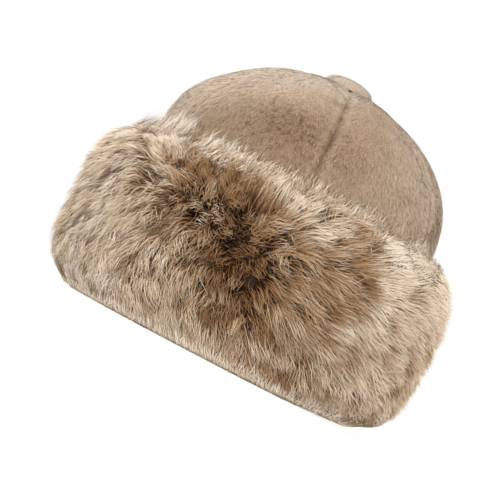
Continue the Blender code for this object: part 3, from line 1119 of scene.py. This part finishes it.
def growFur(style, seed):
    # lines, sides, widths, tones, outward directions and angles of one layer's hairs
    rng = np.random.default_rng(seed)
    clumps, perClump = style["clumps"], style["perClump"]
    count = clumps * perClump
    radius = cuff["meanRadius"]
    lowest, highest = (lengthAt(turn) for turn in cuff["rootTurns"])
    angle = evenly(clumps, 0, -math.pi, math.pi) + style["stray"] / radius * rng.normal(size=clumps)
    along = evenly(clumps, 1, lowest, highest) + style["stray"] * rng.normal(size=clumps)
    along = np.clip(along, lowest, highest)
    place = furPoint(angle, turnAt(along), 1.0)
    aside, up = furLie(angle, place[:, 2])
    strength = np.hypot(aside, up)
    loose = 1.0 - smoothstep(strength, *lie["looseBelow"])
    heading = np.arctan2(up, aside) + (lie["stray"] + lie["tangle"] * loose) * rng.normal(size=clumps)
    heading += lie["swirl"] * noiseAt(place, lie["swirlSize"], seed=2.0)
    combed = np.clip(lie["leastPull"] + (lie["mostPull"] - lie["leastPull"]) * strength, 0.0, 1.0)
    pull = style["comb"] * combed * rng.uniform(*variety["clumpPull"], clumps)
    level = rng.uniform(*style["level"], clumps)
    spotty = 1.0 + lie["lowSpots"] * smoothstep(-place[:, 2], *lie["lowSpotsAt"])
    uneven = np.clip(rng.normal(size=clumps), *variety["clumpToneLimits"])
    tones = furTone(place) + style["tone"] + variety["clumpTone"] * spotty * uneven
    angle, along, heading, pull, level, tones = (
        np.repeat(values, perClump) for values in (angle, along, heading, pull, level, tones))
    offAside, offUp = style["spread"] * rng.normal(size=(2, count))
    edge = np.hypot(offAside, offUp) / style["spread"] - variety["edge"]
    wild = rng.random(count) < style["wild"]
    gather = np.clip(style["gather"] + variety["gather"] * rng.normal(size=count), *variety["gatherLimits"])
    gather = np.where(wild, variety["wildGather"], gather)
    heading = heading + np.where(wild, variety["wildHeading"], variety["heading"]) * rng.normal(size=count)
    pull = pull * rng.uniform(*variety["hairPull"], count)
    level = (level - variety["edgeDrop"] * edge) * rng.uniform(*variety["hairLevel"], count)
    level = level + variety["wildRise"] * wild
    # painted shade for hairs at the edges of clumps
    tones = tones - variety["paintedGapShade"] * edge + variety["hairTone"] * rng.normal(size=count)
    bendAside, bendUp = variety["bend"] * rng.normal(size=(2, count))
    lines = np.empty((count, len(style["shares"]), 3))
    for k, share in enumerate(style["shares"]):
        kept = 1.0 - gather * share ** hairCurve["gather"]
        carried = pull * share ** hairCurve["pull"]
        wave = math.sin(math.pi * share)
        aside = offAside * kept + np.cos(heading) * carried + bendAside * wave
        up = offUp * kept + np.sin(heading) * carried + bendUp * wave
        turn = np.clip(turnAt(along + up), *cuff["tipTurns" if share else "rootTurns"])
        risen = level * (1.0 - (1.0 - share) ** hairCurve["rise"])
        lines[:, k] = furPoint(angle + aside / radius, turn, risen)
    turn = turnAt(along)
    outward = unit(furPoint(angle, turn, 1.0) - furPoint(angle, turn, 0.0))
    widths = ribbonWidths(style, rng, count)
    aslant = unit(outward * np.array([1.0, 1.0, lie["upright"]]))
    sides = hairSides(lines, aslant, lie["twist"] * rng.uniform(-1.0, 1.0, count))
    return lines, sides, widths, tones, outward, angle


def growHem(seed):
    # short hair that hangs from the lower edge down to the floor
    rng = np.random.default_rng(seed)
    count = hem["hairs"]
    angle = evenly(count, 0, -math.pi, math.pi)
    turn = rng.uniform(*hem["rootTurns"], count)
    root = furPoint(angle, turn, rng.uniform(*hem["rootLevel"], count))
    aside, up = furLie(angle, root[:, 2])
    follow = hem["slant"] * aside / np.maximum(np.hypot(aside, up), hem["leastComb"])
    tipAngle = angle + (follow + hem["stray"] * rng.normal(size=count)) / cuff["meanRadius"]
    onRight = endShare(angle, 1)
    reach = rng.uniform(*hem["reach"], count) * (1.0 - cuff["soleRight"] * onRight)
    tip = roundHat(tipAngle, reach, rng.uniform(*hem["height"], count) + hem["rightRise"] * onRight)
    outward = unit(root * np.array([1.0, 1.0, 0.0]))
    middle = 0.5 * (root + tip) + hem["bulge"] * outward
    lines = np.stack([root, middle, tip], axis=1)
    tones = hem["tone"] + hem["toneShare"] * (furTone(root) - tone["base"])
    tones += hem["toneStray"] * rng.normal(size=count)
    widths = ribbonWidths(hem, rng, count)
    sides = hairSides(lines, outward, rng.uniform(-hem["twist"], hem["twist"], count))
    return lines, sides, widths, tones, outward


def growWisps(seed):
    # pale tufts that stand up from the rim and lie against the crown
    rng = np.random.default_rng(seed)
    clumps, perClump = wisps["clumps"], wisps["perClump"]
    count = clumps * perClump
    radius = cuff["meanRadius"]
    angle = evenly(clumps, 0, -math.pi, math.pi)
    x = lie["halfWidth"] * np.sin(angle)
    behind = behindShare(angle)
    chart = np.array(rimChart)
    rise, tones, lean, lowest = (
        np.interp(x, chart[:, 0], chart[:, k + 1]) * (1.0 - behind) + wisps["behind"][k] * behind
        for k in range(4))
    lowest = np.radians(lowest)
    turn = lowest + (wisps["highestRoot"] - lowest) * rng.random(clumps)
    place = furPoint(angle, turn, 1.0)
    tufts = 1.0 + wisps["tuftWave"] * noiseAt(place, wisps["tuftSize"], seed=11.0)
    rise *= np.clip(tufts, *wisps["tuftLimits"]) * rng.uniform(*wisps["clumpRise"], clumps)
    lean += wisps["leanStray"] * rng.normal(size=clumps)
    tones += wisps["clumpTone"] * rng.normal(size=clumps)
    angle, turn, rise, lean, tones = (
        np.repeat(values, perClump) for values in (angle, turn, rise, lean, tones))
    offAside, offUp = wisps["spread"] * rng.normal(size=(2, count))
    gather = wisps["gather"] + wisps["gatherStray"] * rng.normal(size=count)
    gather = np.clip(gather, *wisps["gatherLimits"])
    lean = lean + wisps["hairLean"] * rng.normal(size=count)
    rise = rise * rng.uniform(*wisps["hairRise"], count)
    root = furPoint(angle + offAside / radius, turn, rng.uniform(*wisps["rootLevel"], count))
    height = root[:, 2] + rise * np.cos(lean) + offUp * (1.0 - gather)
    tipAngle = angle + (offAside * (1.0 - gather) + rise * np.sin(lean)) / radius
    crownOut = cuff["crownWidth"][1] - cuff["planHalfWidth"] + cuff["crownGap"]
    tip = roundHat(tipAngle, crownOut + rng.uniform(*wisps["off"], count), height)
    outward = unit(root * np.array([1.0, 1.0, 0.0]))
    middle = 0.5 * (root + tip) + wisps["bulge"] * outward + np.array([0.0, 0.0, wisps["arch"]])
    lines = np.stack([root, middle, tip], axis=1)
    tones = tones + wisps["hairTone"] * rng.normal(size=count)
    widths = ribbonWidths(wisps, rng, count)
    sides = hairSides(lines, outward, rng.uniform(-wisps["twist"], wisps["twist"], count))
    return lines, sides, widths, tones, outward


def cuffUndercoat():
    coat = cuff["undercoat"]
    piece = copyOfNode(cuff["node"], "cuff_undercoat")
    mesh = piece.data
    a = cuff["planHalfWidth"] + coat["wallMiddle"]
    b = cuff["planHalfWidth"] * cuff["depthRatio"] + coat["wallMiddle"]
    trim = coat["nodeSole"] - coat["soleWidth"]
    for vertex in mesh.vertices:
        place = vertex.co
        isOuter = math.hypot(place.x / a, place.y / b) > 1.0
        vertex.select = isOuter and place.z > coat["soleBelow"]
        if isOuter and not vertex.select:
            shrink = 1.0 - trim / math.hypot(place.x, place.y)
            vertex.co = (place.x * shrink, place.y * shrink, coat["soleLift"])
    bpy.ops.object.mode_set(mode="EDIT")
    bpy.ops.mesh.vertices_smooth(**coat["smooth"])
    bpy.ops.object.mode_set(mode="OBJECT")
    applyModifier(piece, "SUBSURF", levels=1, render_levels=1)
    mesh.shade_smooth()
    mesh.materials.append(pileMaterial("cuffUndercoat", coat))
    mesh.materials.append(insideCloth)
    for face in mesh.polygons:
        radial = Vector((face.center.x, face.center.y, 0.0)).normalized()
        inner = math.hypot(face.center.x / a, face.center.y / b) < 1.0
        isInside = inner and face.normal.dot(radial) < -coat["leastInward"]
        face.material_index = 1 if isInside else 0
    places = np.array([vertex.co for vertex in mesh.vertices])
    # painted light along the sole, against the shade by the floor
    tones = furTone(places) + smoothstep(-places[:, 2], *coat["paleBelow"])
    above = mesh.attributes.new("furTone", "FLOAT", "POINT")
    above.data.foreach_set("value", np.clip(tones, 0.0, 1.0).astype(np.float32))
    return piece


furHair = hairMaterial("furHair", cuff["hair"])
finishPiece(cuffUndercoat(), "cuff_fur", cuff["node"])
print("cuff has its undercoat")

*shortHairs, _ = growFur(underfur, seed=5)
finishPiece(ribbonPiece("cuff_underfur", shortHairs, furHair, cuff["soften"]), "cuff_fur")
*longHairs, hairAngles = growFur(longFur, seed=7)
sectorOf = np.floor((hairAngles / (2.0 * math.pi) + 0.5) % 1.0 * len(cuff["sectors"])).astype(int)
for number, sector in enumerate(cuff["sectors"]):
    mine = sectorOf == number
    mineHairs = [values[mine] for values in longHairs]
    piece = ribbonPiece(f"cuff_fur_{sector}", mineHairs, furHair, cuff["soften"])
    finishPiece(piece, "cuff_fur")
finishPiece(ribbonPiece("cuff_hem", growHem(seed=17), furHair, cuff["soften"]), "cuff_fur")
finishPiece(ribbonPiece("rim_wisps", growWisps(seed=13), furHair, wisps["soften"]), "cuff_fur")
print("cuff is furred")

total = sum(len(polygon.vertices) - 2 for thing in bpy.data.objects if thing.type == "MESH"
            and not thing.hide_render for polygon in thing.data.polygons)
print("triangles shown:", total)
